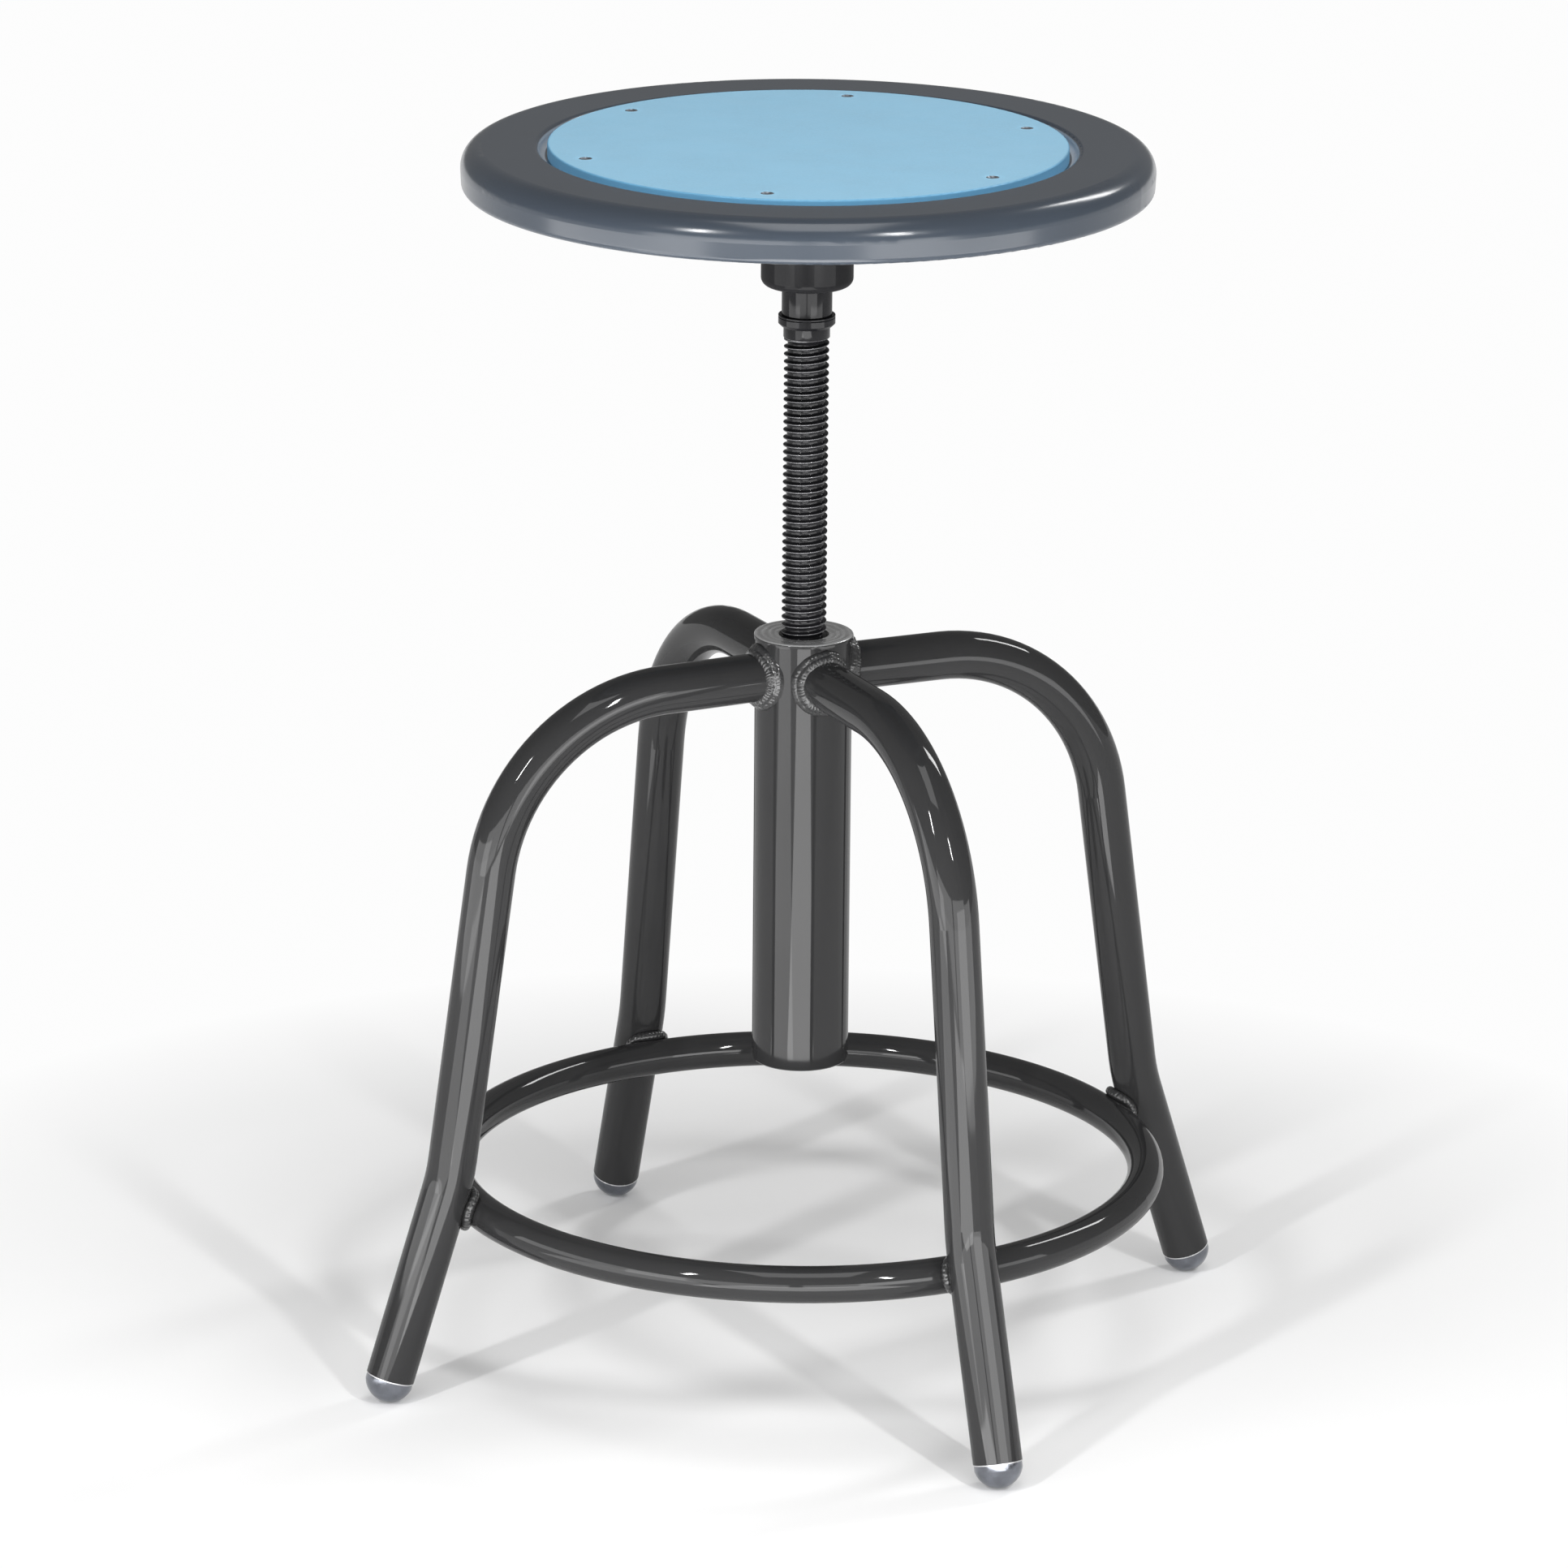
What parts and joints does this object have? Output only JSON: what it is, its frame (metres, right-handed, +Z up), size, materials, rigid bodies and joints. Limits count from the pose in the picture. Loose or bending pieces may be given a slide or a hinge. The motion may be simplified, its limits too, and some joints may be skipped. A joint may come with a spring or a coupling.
{
  "type": "machinist stool",
  "caption": "Height-adjustable workshop stool: round padless seat on a coarse screw spindle, tube column, splayed bent tube legs and a welded foot ring.",
  "frame": {"origin": "on the floor, on the axis of the column and the screw", "axes": "+Z up along the column's axis; the legs stand on the diagonals of X and Y; -Y is the front, 19 degrees from the side the picture shows"},
  "size_m": [0.3867, 0.3868, 0.6482],
  "materials": {
    "rim_paint": "semi-gloss slate grey enamel on pressed steel",
    "blue_board": "matt light blue hard board, lightly grained",
    "dark_steel": "dark plain steel",
    "black_finish": "semi-gloss black",
    "black_oxide": "black oxide, oiled",
    "white_nylon": "natural nylon",
    "zinc_steel": "zinc plated steel",
    "frame_paint": "gloss charcoal grey enamel on steel tube",
    "glide_steel": "polished hardened steel"
  },
  "bodies": {
    "base": {"column_tube": "frame_paint", "column_nut": "frame_paint", "foot_ring": "frame_paint", "leg_welds": "frame_paint", "ring_welds": "frame_paint", "leg_back_right": "frame_paint", "leg_back_left": "frame_paint", "leg_front_left": "frame_paint", "leg_front_right": "frame_paint", "glide_back_right": "glide_steel", "glide_back_left": "glide_steel", "glide_front_left": "glide_steel", "glide_front_right": "glide_steel"},
    "lift_guide": {"guide_bush": "white_nylon"},
    "seat_and_spindle": {"threaded_spindle": "black_oxide", "collar_washer": "black_oxide", "stop_collar": "black_oxide", "end_washer": "zinc_steel", "end_bolt": "zinc_steel", "seat_hub": "black_finish", "hub_screws": "dark_steel", "hub_nuts": "dark_steel", "hub_set_screw": "dark_steel", "backing_plate": "rim_paint", "seat_pan": "rim_paint", "board_rivets": "dark_steel", "seat_board": "blue_board"}
  },
  "joints": [
    {"name": "seat_lift", "type": "slide", "parent": "base", "child": "lift_guide", "axis": [0, 0, 1], "range_m": [-0.152, 0]},
    {"name": "seat_turn", "type": "hinge", "parent": "lift_guide", "child": "seat_and_spindle", "pos_m": [0, 0, 0.3485], "axis": [0, 0, 1], "range_deg": [-13680, 0]}
  ],
  "couplings": [
    {"joint": "seat_lift", "follows": "seat_turn", "m_per_rad": 0.00063662}
  ]
}
